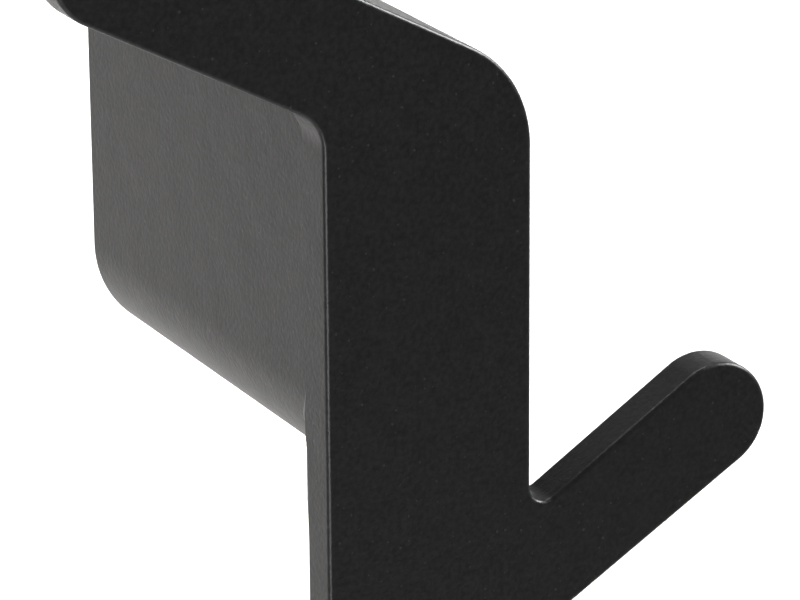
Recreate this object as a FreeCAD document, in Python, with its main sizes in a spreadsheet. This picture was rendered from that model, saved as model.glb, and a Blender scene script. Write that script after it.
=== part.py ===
"""Wall hook for barrier ropes.

A flat steel hook plate stands parallel to the wall on a hollow stand-off shell.
The ring of a rope goes over the raised arm or into the notch of the lower hook.
The shell slips over a bracket that is screwed to the wall, and one grub screw
in its rounded underside locks it there.

Frame: X to the right, Y into the wall, Z up. The wall face is the plane Y = 0 and
the origin is midway between the two wall screws. All lengths are in millimetres.
"""
import FreeCAD, Part
import math
import os

import Sketcher
from FreeCAD import Vector

doc = FreeCAD.newDocument("rope_wall_hook")


# ---------------------------------------------------------------- driving sizes

SIZES = [
    ("total_depth", 60.0, "wall face to the front of the hook plate"),
    ("plate_thickness", 5.0, "hook plate"),
    ("stem_width", 25.0, "upright of the hook plate, and the shell behind it"),
    ("edge_radius", 0.5, "rounding of the plate's front edges"),
    ("arm_angle", 28.5, "slope of the upper arm above the horizontal, degrees"),
    ("arm_width", 13.7, "upper arm, from edge to edge"),
    ("arm_reach", 23.5, "left edge of the upright to the centre of the arm's round end"),
    ("arm_rise", 35.2, "centre of the arm's round end above the origin"),
    ("armpit_radius", 5.0, "inner corner under the arm"),
    ("shoulder_radius", 13.5, "outer corner where the arm turns into the upright"),
    ("hook_angle", 32.0, "slope of the hook's upper edge, degrees"),
    ("hook_under_angle", 30.5, "slope of the hook's lower edge, degrees"),
    ("hook_tip_radius", 6.5, "round tip of the hook"),
    ("hook_reach", 23.9, "right edge of the upright to the centre of the tip"),
    ("hook_drop", 27.2, "centre of the tip below the origin"),
    ("notch_radius", 2.0, "bottom of the notch between upright and hook"),
    ("heel_radius", 10.0, "outer corner where the hook leaves the upright"),
    ("shell_wall", 3.0, "bent strip of the stand-off shell"),
    ("shell_drop", 16.1, "centre of the shell's round underside below the origin"),
    ("front_weld_leg", 2.6, "fillet weld between the shell's underside and the plate"),
    ("seam_weld_leg", 2.2, "weld that closes the strip in the shell's upper corner"),
    ("bracket_sheet", 2.5, "sheet of the wall bracket"),
    ("bracket_clearance", 0.4, "side gap between bracket and shell"),
    ("flange_length", 20.0, "how far the bracket's flanges stand out from the wall"),
    ("flange_side_relief", 3.2, "how much narrower the lower flange is on each side"),
    ("bend_radius", 1.0, "inner radius of the bracket's bends"),
    ("screw_hole", 5.2, "hole for a wall screw"),
    ("screw_spacing", 24.0, "between the two wall screws"),
    ("grub_diameter", 5.0, "grub screw and its thread"),
    ("grub_length", 8.0, "grub screw"),
    ("grub_recess", 1.0, "grub screw below the shell's outer surface"),
    ("grub_setback", 11.0, "grub screw axis in front of the wall"),
    ("socket_width", 2.5, "hexagon socket of the grub screw, across flats"),
    ("socket_depth", 3.0, "hexagon socket of the grub screw"),
    ("point_chamfer", 0.8, "chamfer of the grub screw's point"),
    ("boss_diameter", 9.0, "threaded boss inside the shell"),
    ("boss_height", 4.2, "threaded boss above the shell's inner surface"),
]

sheet = doc.addObject("Spreadsheet::Sheet", "Sizes")
for row, (alias, value, meaning) in enumerate(SIZES, start=1):
    sheet.set(f"A{row}", alias)
    sheet.set(f"B{row}", str(value))
    sheet.setAlias(f"B{row}", alias)
    sheet.set(f"C{row}", meaning)
doc.recompute()

# The inside of the stand-off shell, half its width.
HALF_INSIDE = "(Sizes.stem_width / 2 - Sizes.shell_wall)"
# Where the roof, which is the line of the arm's upper edge, meets the shell's left face.
ROOF_LEFT = (
    "(Sizes.arm_rise - Sizes.arm_reach * tan(Sizes.arm_angle)"
    " + Sizes.arm_width / 2 / cos(Sizes.arm_angle))"
)
# The same line on the inner surface of the strip, over the middle of the shell.
INNER_ROOF_MIDDLE = (
    f"({ROOF_LEFT} - Sizes.stem_width / 2 * tan(Sizes.arm_angle)"
    " - Sizes.shell_wall / cos(Sizes.arm_angle))"
)
# Half the width of the bracket, which slips into the shell.
BRACKET_HALF = f"({HALF_INSIDE} - Sizes.bracket_clearance)"
# Lower face of the bracket's lower flange: the point of the grub screw bears on it.
FLANGE_LEVEL = "(Sizes.grub_recess + Sizes.grub_length - Sizes.shell_drop - Sizes.stem_width / 2)"
# Room that each bend of the bracket needs beside it.
BEND_RELIEF = "(Sizes.bracket_sheet + 2 * Sizes.bend_radius)"
# The upper flange, along the roof: it starts at the bracket's left side and ends where
# the strip starts to bend round the shoulder.
FLANGE_START = f"(({BEND_RELIEF} * sin(Sizes.arm_angle) - {BRACKET_HALF}) / cos(Sizes.arm_angle))"
FLANGE_END = (
    f"({BRACKET_HALF} / cos(Sizes.arm_angle)"
    " - (Sizes.shoulder_radius - Sizes.shell_wall) * tan(45 - Sizes.arm_angle / 2))"
)


def under_roof(along, below):
    """A place under the roof: along it to the right of the middle, and below its inner face."""
    across = f"(({along}) * cos(Sizes.arm_angle) - ({below}) * sin(Sizes.arm_angle))"
    up = (
        f"({INNER_ROOF_MIDDLE} - ({along}) * sin(Sizes.arm_angle)"
        f" - ({below}) * cos(Sizes.arm_angle))"
    )
    return across, up


def size(alias):
    """The number in one cell of the sheet."""
    return float(sheet.get(alias))


def worked_out(expression):
    """The number that an expression on the sheet comes to."""
    result = sheet.evalExpression(expression)
    return float(getattr(result, "Value", result))


# ---------------------------------------------------------------- drawing helpers

# Headings of upright sides, and the point numbers that a sketch uses.
UP = 90
DOWN = 270
START = 1
END = 2
CENTRE = 3
ORIGIN = -1
# Two places closer than this are the same place.
SAME_PLACE = 1e-4


def new_body(label):
    body = doc.addObject("PartDesign::Body", label)
    body.Label = label
    return body


def new_sketch(body, plane_role, label):
    """A sketch on one of the body's own origin planes."""
    sketch = body.newObject("Sketcher::SketchObject", label)
    plane = [p for p in body.Origin.OriginFeatures if p.Role == plane_role][0]
    sketch.AttachmentSupport = [(plane, "")]
    sketch.MapMode = "FlatFace"
    return sketch


def bind(sketch, name, kind, *places, to):
    """Add a dimension to a sketch, name it and tie it to an expression."""
    start = worked_out(to)
    if kind == "Angle":
        start = math.radians(start)
    index = sketch.addConstraint(Sketcher.Constraint(kind, *places, start))
    sketch.renameConstraint(index, name)
    sketch.setExpression(f"Constraints.{name}", to)


def heading_vector(heading):
    return Vector(math.cos(math.radians(heading)), math.sin(math.radians(heading)), 0)


def corner_centre(side, following, radius, turn_sign):
    """Centre of the arc that rounds the corner of two sides."""
    point, heading = side
    next_point, next_heading = following
    along = heading_vector(heading)
    next_along = heading_vector(next_heading)
    inward = heading_vector(heading + 90 * turn_sign) * radius
    next_inward = heading_vector(next_heading + 90 * turn_sign) * radius
    gap = (next_point + next_inward) - (point + inward)
    steps = gap.cross(next_along).z / along.cross(next_along).z
    return point + inward + along * steps


def draw_outline(sketch, sides, rounds):
    """Draw a closed outline of straight sides, each joined to the next by a tangent arc.

    sides are (point, heading) pairs in the order of travel. rounds holds, for the end of
    each side, (radius, centre); a centre of None is worked out, a radius of 0 is a sharp
    corner. Returns the indices of the lines and of the arcs (None at a sharp corner).
    """
    count = len(sides)
    joints = []
    for i in range(count):
        radius, centre = rounds[i]
        following = sides[(i + 1) % count]
        if centre is None:
            turn = (following[1] - sides[i][1] + 180) % 360 - 180
            sign = 1 if turn > 0 else -1
            centre = corner_centre(sides[i], following, radius, sign)
        else:
            point, heading = sides[i]
            sign = 1 if heading_vector(heading).cross(centre - point).z > 0 else -1
        enter = centre - heading_vector(sides[i][1] + 90 * sign) * radius
        leave = centre - heading_vector(following[1] + 90 * sign) * radius
        joints.append((enter, leave, centre, radius, sign))

    lines = []
    for i in range(count):
        start = joints[i - 1][1]
        end = joints[i][0]
        lines.append(sketch.addGeometry(Part.LineSegment(start, end), False))
    arcs = []
    for i, (enter, leave, centre, radius, sign) in enumerate(joints):
        next_line = lines[(i + 1) % count]
        if radius == 0:
            arcs.append(None)
            sketch.addConstraint(Sketcher.Constraint("Coincident", lines[i], END, next_line, START))
            continue
        first, last = (enter, leave) if sign > 0 else (leave, enter)
        first_angle = math.atan2(first.y - centre.y, first.x - centre.x)
        last_angle = math.atan2(last.y - centre.y, last.x - centre.x)
        circle = Part.Circle(centre, Vector(0, 0, 1), radius)
        arc = sketch.addGeometry(Part.ArcOfCircle(circle, first_angle, last_angle), False)
        arcs.append(arc)
        entry_end, leaving_end = (START, END) if sign > 0 else (END, START)
        sketch.addConstraint(Sketcher.Constraint("Tangent", lines[i], END, arc, entry_end))
        sketch.addConstraint(Sketcher.Constraint("Tangent", arc, leaving_end, next_line, START))
    return lines, arcs


def bind_place(sketch, name, geometry, point, across, upward):
    """Tie a point of a sketch to two expressions, measured from the sketch's origin."""
    bind(sketch, f"{name}_across", "DistanceX", ORIGIN, START, geometry, point, to=across)
    bind(sketch, f"{name}_up", "DistanceY", ORIGIN, START, geometry, point, to=upward)


def draw_polygon(sketch, name, corners):
    """Draw a closed outline of straight sides whose corners lie at pairs of expressions."""
    points = [Vector(worked_out(across), worked_out(up), 0) for across, up in corners]
    count = len(points)
    for i in range(count):
        sketch.addGeometry(Part.LineSegment(points[i], points[(i + 1) % count]), False)
    lines = range(sketch.GeometryCount - count, sketch.GeometryCount)
    for i, line in enumerate(lines):
        next_line = lines[(i + 1) % count]
        sketch.addConstraint(Sketcher.Constraint("Coincident", line, END, next_line, START))
        bind_place(sketch, f"{name}_{i + 1}", line, START, *corners[i])


def draw_circle(sketch, name, across, up, radius):
    """Draw a circle whose centre and radius are expressions."""
    centre = Vector(worked_out(across), worked_out(up), 0)
    circle = Part.Circle(centre, Vector(0, 0, 1), worked_out(radius))
    geometry = sketch.addGeometry(circle, False)
    bind_place(sketch, name, geometry, CENTRE, across, up)
    bind(sketch, f"{name}_radius", "Radius", geometry, to=radius)


def pad(body, sketch, label, length):
    """Raise a sketch along its own normal."""
    feature = body.newObject("PartDesign::Pad", label)
    feature.Profile = sketch
    feature.setExpression("Length", length)
    return feature


def pocket(body, sketch, label, along_normal, length=None):
    """Cut a sketch into its body, to a length or right through."""
    feature = body.newObject("PartDesign::Pocket", label)
    feature.Profile = sketch
    feature.Reversed = along_normal
    if length is None:
        feature.Type = "ThroughAll"
    else:
        feature.setExpression("Length", length)
    return feature


def edges_where(feature, test):
    """Names of a feature's edges whose two ends and middle all pass a test."""
    names = []
    for number, edge in enumerate(feature.Shape.Edges, start=1):
        middle = edge.valueAt((edge.FirstParameter + edge.LastParameter) / 2)
        points = [vertex.Point for vertex in edge.Vertexes] + [middle]
        if all(test(point) for point in points):
            names.append(f"Edge{number}")
    return names


def round_edges(body, feature, label, radius, test):
    """Fillet the edges of a feature that pass a test."""
    doc.recompute()
    fillet = body.newObject("PartDesign::Fillet", label)
    fillet.Base = (feature, edges_where(feature, test))
    fillet.setExpression("Radius", radius)
    return fillet


# ---------------------------------------------------------------- hook plate

def make_hook_plate():
    """The flat plate: upright, raised arm on the left, hook on the right."""
    half = size("stem_width") / 2
    arm_slope = size("arm_angle")
    under_slope = size("hook_under_angle")
    hook_slope = size("hook_angle")
    arm_end = Vector(-half - size("arm_reach"), size("arm_rise"), 0)
    tip = Vector(half + size("hook_reach"), -size("hook_drop"), 0)
    arm_radius = size("arm_width") / 2
    tip_radius = size("hook_tip_radius")

    def tangent_side(centre, radius, heading):
        return centre + heading_vector(heading - 90) * radius, heading

    sides = [
        (Vector(-half, 0, 0), DOWN),
        tangent_side(tip, tip_radius, under_slope),
        tangent_side(tip, tip_radius, 180 + hook_slope),
        (Vector(half, 0, 0), UP),
        tangent_side(arm_end, arm_radius, 180 - arm_slope),
        tangent_side(arm_end, arm_radius, 360 - arm_slope),
    ]
    rounds = [
        (size("heel_radius"), None),
        (tip_radius, tip),
        (size("notch_radius"), None),
        (size("shoulder_radius"), None),
        (arm_radius, arm_end),
        (size("armpit_radius"), None),
    ]

    body = new_body("hook_plate")
    sketch = new_sketch(body, "XZ_Plane", "hook_outline")
    lines, arcs = draw_outline(sketch, sides, rounds)
    left_edge, hook_under, hook_top, right_edge, arm_top, arm_under = lines
    heel, tip_round, notch, shoulder, arm_round, armpit = arcs

    for name, edge, across in (
        ("left_edge", left_edge, "-Sizes.stem_width / 2"),
        ("right_edge", right_edge, "Sizes.stem_width / 2"),
    ):
        sketch.addConstraint(Sketcher.Constraint("Vertical", edge))
        bind(sketch, name, "DistanceX", ORIGIN, START, edge, START, to=across)
    bind(sketch, "under_slope", "Angle", hook_under, to="Sizes.hook_under_angle")
    bind(sketch, "hook_slope", "Angle", hook_top, to="180 + Sizes.hook_angle")
    bind(sketch, "arm_slope", "Angle", arm_top, to="180 - Sizes.arm_angle")
    bind(sketch, "arm_under_slope", "Angle", arm_under, to="360 - Sizes.arm_angle")
    for name, arc, radius in (
        ("heel", heel, "Sizes.heel_radius"),
        ("tip", tip_round, "Sizes.hook_tip_radius"),
        ("notch", notch, "Sizes.notch_radius"),
        ("shoulder", shoulder, "Sizes.shoulder_radius"),
        ("arm_end", arm_round, "Sizes.arm_width / 2"),
        ("armpit", armpit, "Sizes.armpit_radius"),
    ):
        bind(sketch, name, "Radius", arc, to=radius)
    bind_place(
        sketch, "arm_centre", arm_round, CENTRE,
        "-Sizes.stem_width / 2 - Sizes.arm_reach", "Sizes.arm_rise",
    )
    bind_place(
        sketch, "tip_centre", tip_round, CENTRE,
        "Sizes.stem_width / 2 + Sizes.hook_reach", "-Sizes.hook_drop",
    )

    plate = pad(body, sketch, "plate", "Sizes.plate_thickness")
    front = -size("plate_thickness")
    round_edges(
        body, plate, "front_rounding", "Sizes.edge_radius",
        lambda point: abs(point.y - front) < SAME_PLACE,
    )
    body.setExpression("Placement.Base.y", "Sizes.plate_thickness - Sizes.total_depth")
    return body


# ---------------------------------------------------------------- stand-off shell

def draw_strip_face(sketch, name, inset):
    """One face of the bent strip: round underside, two walls, shoulder and sloping roof."""
    half = f"(Sizes.stem_width / 2 - {inset})"
    shoulder_radius = f"(Sizes.shoulder_radius - {inset})"
    corner_up = f"({ROOF_LEFT} - {inset} * (tan(Sizes.arm_angle) + 1 / cos(Sizes.arm_angle)))"
    half_now = worked_out(half)
    corner = Vector(-half_now, worked_out(corner_up), 0)
    sides = [
        (corner, DOWN),
        (Vector(half_now, 0, 0), UP),
        (corner, 180 - size("arm_angle")),
    ]
    rounds = [
        (half_now, Vector(0, -size("shell_drop"), 0)),
        (worked_out(shoulder_radius), None),
        (0, None),
    ]
    lines, arcs = draw_outline(sketch, sides, rounds)
    left_wall, right_wall, roof = lines
    underside, shoulder, _ = arcs
    sketch.addConstraint(Sketcher.Constraint("Vertical", left_wall))
    sketch.addConstraint(Sketcher.Constraint("Vertical", right_wall))
    bind_place(sketch, f"{name}_corner", left_wall, START, f"-{half}", corner_up)
    bind(sketch, f"{name}_right", "DistanceX", ORIGIN, START, right_wall, END, to=half)
    bind(sketch, f"{name}_slope", "Angle", roof, to="180 - Sizes.arm_angle")
    bind(sketch, f"{name}_shoulder", "Radius", shoulder, to=shoulder_radius)
    bind(
        sketch, f"{name}_underside", "DistanceY", ORIGIN, START, underside, CENTRE,
        to="-Sizes.shell_drop",
    )


def make_standoff_shell():
    """A strip bent into a closed tube, from the wall to the back of the hook plate."""
    body = new_body("standoff_shell")
    section = new_sketch(body, "XZ_Plane", "strip_section")
    draw_strip_face(section, "outer", "0")
    draw_strip_face(section, "inner", "Sizes.shell_wall")
    tube = pad(body, section, "bent_strip", "Sizes.total_depth - Sizes.plate_thickness")

    # The two ends of the strip meet in the upper left corner, bevelled for the seam weld.
    doc.recompute()
    corner_x = -size("stem_width") / 2
    corner_z = worked_out(ROOF_LEFT)
    bevel = body.newObject("PartDesign::Chamfer", "seam_bevel")
    bevel.Base = (
        tube,
        edges_where(
            tube,
            lambda point: abs(point.x - corner_x) + abs(point.z - corner_z) < SAME_PLACE,
        ),
    )
    bevel.setExpression("Size", "Sizes.seam_weld_leg")

    hole = new_sketch(body, "XY_Plane", "grub_hole_outline")
    draw_circle(hole, "hole", "0", "-Sizes.grub_setback", "Sizes.grub_diameter / 2")
    pocket(body, hole, "grub_hole", along_normal=False)
    return body


# ---------------------------------------------------------------- welds

def make_seam_weld():
    """The bead that fills the bevel along the strip's two ends, dressed flush."""
    body = new_body("seam_weld")
    sketch = new_sketch(body, "XZ_Plane", "seam_section")
    left = "-Sizes.stem_width / 2"
    draw_polygon(sketch, "seam", [
        (left, ROOF_LEFT),
        (left, f"{ROOF_LEFT} - Sizes.seam_weld_leg"),
        (
            f"{left} + Sizes.seam_weld_leg * cos(Sizes.arm_angle)",
            f"{ROOF_LEFT} - Sizes.seam_weld_leg * sin(Sizes.arm_angle)",
        ),
    ])
    pad(body, sketch, "bead", "Sizes.total_depth - Sizes.plate_thickness")
    return body


# The front weld fades out where the underside turns up into the walls.
FRONT_WELD_TURN = 150


def make_front_weld():
    """The hollow fillet bead round the shell's underside, against the back of the plate."""
    root_y = "Sizes.plate_thickness - Sizes.total_depth"
    root_z = "-Sizes.shell_drop - Sizes.stem_width / 2"
    leg = "Sizes.front_weld_leg"
    corner = Vector(worked_out(root_y), worked_out(root_z), 0)
    on_shell = corner + Vector(worked_out(leg), 0, 0)
    on_plate = corner - Vector(0, worked_out(leg), 0)
    hollow_centre = Vector(on_shell.x, on_plate.y, 0)

    section = doc.addObject("Sketcher::SketchObject", "front_weld_section")
    section.Placement = FreeCAD.Placement(
        Vector(0, 0, 0), FreeCAD.Rotation(Vector(0, 1, 0), Vector(0, 0, 1), Vector(1, 0, 0))
    )
    along_shell = section.addGeometry(Part.LineSegment(corner, on_shell), False)
    circle = Part.Circle(hollow_centre, Vector(0, 0, 1), worked_out(leg))
    hollow = section.addGeometry(Part.ArcOfCircle(circle, math.pi / 2, math.pi), False)
    down_plate = section.addGeometry(Part.LineSegment(on_plate, corner), False)
    for first, first_end, second, second_end in (
        (along_shell, END, hollow, START),
        (hollow, END, down_plate, START),
        (down_plate, END, along_shell, START),
    ):
        section.addConstraint(
            Sketcher.Constraint("Coincident", first, first_end, second, second_end)
        )
    bind_place(section, "root", along_shell, START, root_y, root_z)
    bind_place(section, "shell_toe", along_shell, END, f"{root_y} + {leg}", root_z)
    bind_place(section, "plate_toe", down_plate, START, root_y, f"{root_z} - {leg}")
    bind(section, "hollow", "Radius", hollow, to=leg)

    ring = doc.addObject("Part::Revolution", "front_weld_ring")
    ring.Source = section
    ring.Axis = Vector(0, 1, 0)
    ring.setExpression("Base.z", "-Sizes.shell_drop")
    ring.Angle = FRONT_WELD_TURN
    ring.Symmetric = True
    ring.Solid = True

    stem = doc.addObject("Part::Box", "front_weld_limits")
    stem.setExpression("Length", "Sizes.stem_width")
    stem.setExpression("Width", "2 * Sizes.front_weld_leg")
    stem.setExpression("Height", "Sizes.stem_width / 2 + 2 * Sizes.front_weld_leg")
    stem.setExpression("Placement.Base.x", "-Sizes.stem_width / 2")
    stem.setExpression("Placement.Base.y", root_y)
    stem.setExpression("Placement.Base.z", f"{root_z} - 2 * {leg}")

    bead = doc.addObject("Part::Common", "front_weld")
    bead.Base = ring
    bead.Tool = stem
    return bead


# ---------------------------------------------------------------- wall bracket

def make_wall_bracket():
    """A bent plate screwed to the wall; its two flanges reach forward into the shell."""
    low_half = f"({BRACKET_HALF} - Sizes.flange_side_relief)"
    shelf = f"({FLANGE_LEVEL} + {BEND_RELIEF})"
    left_step = under_roof(FLANGE_START, BEND_RELIEF)
    right_step = under_roof(FLANGE_END, BEND_RELIEF)

    body = new_body("wall_bracket")
    outline = new_sketch(body, "XZ_Plane", "back_outline")
    draw_polygon(outline, "back", [
        (f"-{low_half}", FLANGE_LEVEL),
        (low_half, FLANGE_LEVEL),
        (low_half, shelf),
        (BRACKET_HALF, f"{shelf} + Sizes.flange_side_relief"),
        (BRACKET_HALF, f"{right_step[1]} - ({BRACKET_HALF} - {right_step[0]})"),
        right_step,
        under_roof(FLANGE_END, "0"),
        under_roof(FLANGE_START, "0"),
        left_step,
        (f"-{BRACKET_HALF}", f"{shelf} + Sizes.flange_side_relief"),
        (f"-{low_half}", shelf),
    ])
    pad(body, outline, "back", "Sizes.bracket_sheet")

    upper = new_sketch(body, "XZ_Plane", "upper_flange_outline")
    draw_polygon(upper, "upper", [
        under_roof(FLANGE_START, "0"),
        under_roof(FLANGE_START, "Sizes.bracket_sheet"),
        under_roof(FLANGE_END, "Sizes.bracket_sheet"),
        under_roof(FLANGE_END, "0"),
    ])
    pad(body, upper, "upper_flange", "Sizes.flange_length")

    lower = new_sketch(body, "XZ_Plane", "lower_flange_outline")
    draw_polygon(lower, "lower", [
        (f"-{low_half}", FLANGE_LEVEL),
        (low_half, FLANGE_LEVEL),
        (low_half, f"{FLANGE_LEVEL} + Sizes.bracket_sheet"),
        (f"-{low_half}", f"{FLANGE_LEVEL} + Sizes.bracket_sheet"),
    ])
    flanged = pad(body, lower, "lower_flange", "Sizes.flange_length")

    # Both bends are rounded, inside by the bend radius and outside by a sheet more.
    sheet_now = size("bracket_sheet")
    low = worked_out(FLANGE_LEVEL)
    slope = math.radians(size("arm_angle"))
    roof_middle = worked_out(INNER_ROOF_MIDDLE)

    def on_bend(point, below):
        """True on either flange's long edge, on the face that lies this far inside it."""
        under = (roof_middle - point.z) * math.cos(slope) - point.x * math.sin(slope)
        on_upper = abs(under - below) < SAME_PLACE
        on_lower = abs(point.z - low - below) < SAME_PLACE
        return abs(point.y + below) < SAME_PLACE and (on_lower or on_upper)

    inside = round_edges(
        body, flanged, "inner_bends", "Sizes.bend_radius",
        lambda point: on_bend(point, sheet_now),
    )
    round_edges(
        body, inside, "outer_bends", "Sizes.bend_radius + Sizes.bracket_sheet",
        lambda point: on_bend(point, 0),
    )

    holes = new_sketch(body, "XZ_Plane", "screw_hole_outlines")
    for name, up in (("upper", "Sizes.screw_spacing / 2"), ("lower", "-Sizes.screw_spacing / 2")):
        draw_circle(holes, name, "0", up, "Sizes.screw_hole / 2")
    pocket(body, holes, "screw_holes", along_normal=True)
    return body


# ---------------------------------------------------------------- grub screw and its boss

def new_cylinder(label, radius, height, across, deep, upward, lying=False):
    """A cylinder standing on its base, or lying along Y."""
    cylinder = doc.addObject("Part::Cylinder", label)
    if lying:
        cylinder.Placement.Rotation = FreeCAD.Rotation(Vector(1, 0, 0), -90)
    cylinder.setExpression("Radius", radius)
    cylinder.setExpression("Height", height)
    cylinder.setExpression("Placement.Base.x", across)
    cylinder.setExpression("Placement.Base.y", deep)
    cylinder.setExpression("Placement.Base.z", upward)
    return cylinder


def make_threaded_boss():
    """A round boss welded inside the shell's underside, to give the thread more depth."""
    outer_low = "-Sizes.shell_drop - Sizes.stem_width / 2"
    boss_length = "(Sizes.shell_wall + Sizes.boss_height)"
    axis_y = "-Sizes.grub_setback"
    blank = new_cylinder(
        "boss_blank", "Sizes.boss_diameter / 2", boss_length, "0", axis_y, outer_low
    )
    hollow = new_cylinder(
        "boss_seat", HALF_INSIDE, "2 * Sizes.boss_diameter",
        "0", f"{axis_y} - Sizes.boss_diameter", "-Sizes.shell_drop", lying=True,
    )
    seated = doc.addObject("Part::Common", "boss_seated")
    seated.Base = blank
    seated.Tool = hollow
    thread = new_cylinder(
        "boss_thread", "Sizes.grub_diameter / 2", f"2 * {boss_length}", "0", axis_y, outer_low
    )
    boss = doc.addObject("Part::Cut", "threaded_boss")
    boss.Base = seated
    boss.Tool = thread
    return boss


def make_grub_screw():
    """The headless screw, socket downwards, whose point bears on the lower flange."""
    body = new_body("grub_screw")
    outline = new_sketch(body, "XY_Plane", "grub_outline")
    draw_circle(outline, "shank", "0", "0", "Sizes.grub_diameter / 2")
    shank = pad(body, outline, "shank", "Sizes.grub_length")

    doc.recompute()
    top = size("grub_length")
    point_end = body.newObject("PartDesign::Chamfer", "point")
    point_end.Base = (shank, edges_where(shank, lambda point: abs(point.z - top) < SAME_PLACE))
    point_end.setExpression("Size", "Sizes.point_chamfer")

    socket = new_sketch(body, "XY_Plane", "socket_outline")
    corners = []
    for corner in range(6):
        turn = 30 + 60 * corner
        across_corners = "Sizes.socket_width / 2 / cos(30)"
        corners.append((f"{across_corners} * cos({turn})", f"{across_corners} * sin({turn})"))
    draw_polygon(socket, "socket", corners)
    pocket(body, socket, "socket", along_normal=True, length="Sizes.socket_depth")

    body.setExpression("Placement.Base.y", "-Sizes.grub_setback")
    body.setExpression(
        "Placement.Base.z", "Sizes.grub_recess - Sizes.shell_drop - Sizes.stem_width / 2"
    )
    return body


# ---------------------------------------------------------------- build, check, write

nodes = [
    make_hook_plate(),
    make_standoff_shell(),
    make_seam_weld(),
    make_front_weld(),
    make_wall_bracket(),
    make_threaded_boss(),
    make_grub_screw(),
]
doc.recompute()

failed = [
    item.Label for item in doc.Objects if "Invalid" in item.State or "Error" in item.State
]
if failed:
    raise RuntimeError(f"features that failed: {failed}")

os.makedirs("parts", exist_ok=True)
for node in nodes:
    shape = node.Shape
    if shape.isNull() or not shape.isValid():
        raise RuntimeError(f"{node.Label} has no valid shape")
    box = shape.BoundBox
    print(
        f"{node.Label}: {len(shape.Solids)} solid, {shape.Volume:.1f} mm3, "
        f"x {box.XMin:.2f}..{box.XMax:.2f}, y {box.YMin:.2f}..{box.YMax:.2f}, "
        f"z {box.ZMin:.2f}..{box.ZMax:.2f}"
    )
    shape.exportStep(f"parts/{node.Label}.step")
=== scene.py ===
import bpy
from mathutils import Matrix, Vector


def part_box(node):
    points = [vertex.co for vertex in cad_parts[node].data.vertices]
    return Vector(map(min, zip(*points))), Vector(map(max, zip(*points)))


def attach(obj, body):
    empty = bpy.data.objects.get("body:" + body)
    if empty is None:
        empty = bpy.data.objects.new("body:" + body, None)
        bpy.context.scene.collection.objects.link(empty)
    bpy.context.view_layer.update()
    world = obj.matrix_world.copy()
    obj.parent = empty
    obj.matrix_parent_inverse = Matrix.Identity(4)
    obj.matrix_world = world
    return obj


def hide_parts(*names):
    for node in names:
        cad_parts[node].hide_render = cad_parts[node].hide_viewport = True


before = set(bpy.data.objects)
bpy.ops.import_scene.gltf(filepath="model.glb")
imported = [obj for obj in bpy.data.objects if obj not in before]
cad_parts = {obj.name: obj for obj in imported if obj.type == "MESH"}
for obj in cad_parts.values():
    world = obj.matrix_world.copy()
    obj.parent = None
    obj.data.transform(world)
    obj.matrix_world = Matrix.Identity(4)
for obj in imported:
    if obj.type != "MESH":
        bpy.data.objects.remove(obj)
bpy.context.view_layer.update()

# %% [markdown]
# # A wall hook for barrier ropes
#
# The real object is a flat steel plate, cut to a raised arm and a V hook, welded to a deep bent
# strip that carries it off the wall. Everything is powder coated satin black in one go. A zinc
# plated bracket hides inside the strip, and a grub screw locks the two together. The measured
# model already knows where each piece is, so this lesson only rebuilds the surfaces that catch
# the light: rounded edges, the welds, the skin of the coating, the screw's thread.
#
# All lengths are in metres, because Blender counts in metres. The name MM stands for a
# millimetre, so that sizes can be read as a maker would say them.

# %% Modules and places
import math

import bmesh
import bpy
from mathutils import Quaternion, Vector

MM = 0.001
SAME_PLACE = 0.0001 * MM

plate_low, plate_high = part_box("hook_plate")
shell_low, shell_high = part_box("standoff_shell")
front = plate_low.y
plate_back = plate_high.y
half_stem = shell_high.x
print("plate thickness in mm", round((plate_back - front) / MM, 2))
print("upright width in mm", round(2 * half_stem / MM, 2))

# %% [markdown]
# ## Node arithmetic
#
# A finish is mostly arithmetic on noise and masks, and so is a rule for a shape. Wiring each Math
# node by hand hides that, so one small class wraps a socket and lets `1 - mask` or
# `grain * 0.3 + 0.4` add the nodes. Every other node comes from a single method that takes its
# kind, its settings and its inputs, in a material and in a geometry tree alike. Sums of plain
# numbers stay in Python, so no node is spent on them.

# %% A wire that can be used in sums
class Wire:
    """An output socket that adds Math nodes when it is used in arithmetic."""

    def __init__(self, graph, socket):
        self.graph = graph
        self.socket = socket

    def combine(self, operation, first, second):
        return self.graph.maths(operation, first, second)

    def __add__(self, other):
        return self.combine("ADD", self, other)

    __radd__ = __add__

    def __sub__(self, other):
        return self.combine("SUBTRACT", self, other)

    def __rsub__(self, other):
        return self.combine("SUBTRACT", other, self)

    def __mul__(self, other):
        return self.combine("MULTIPLY", self, other)

    __rmul__ = __mul__

    def __truediv__(self, other):
        return self.combine("DIVIDE", self, other)

    def __rtruediv__(self, other):
        return self.combine("DIVIDE", other, self)


class Graph:
    """A node tree whose nodes are added one call at a time."""

    def __init__(self, tree):
        self.tree = tree

    def node(self, kind, settings=None, inputs=None, output=0):
        """Add a node, make its settings, join or fill its inputs, return one output."""
        made = self.tree.nodes.new(kind)
        for name, value in (settings or {}).items():
            setattr(made, name, value)
        for key, value in (inputs or {}).items():
            self.feed(made.inputs[key], value)
        return Wire(self, made.outputs[output])

    def feed(self, socket, value):
        if isinstance(value, Wire):
            self.tree.links.new(value.socket, socket)
        else:
            socket.default_value = value

    def maths(self, operation, *values):
        return self.node(
            "ShaderNodeMath", {"operation": operation}, dict(enumerate(values))
        )

    def between(self, amount, low, high):
        """Stretch the part of a value that lies between low and high over 0 to 1."""
        return self.node(
            "ShaderNodeMapRange",
            {"clamp": True, "interpolation_type": "SMOOTHSTEP"},
            {"Value": amount, "From Min": low, "From Max": high},
        )


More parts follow.
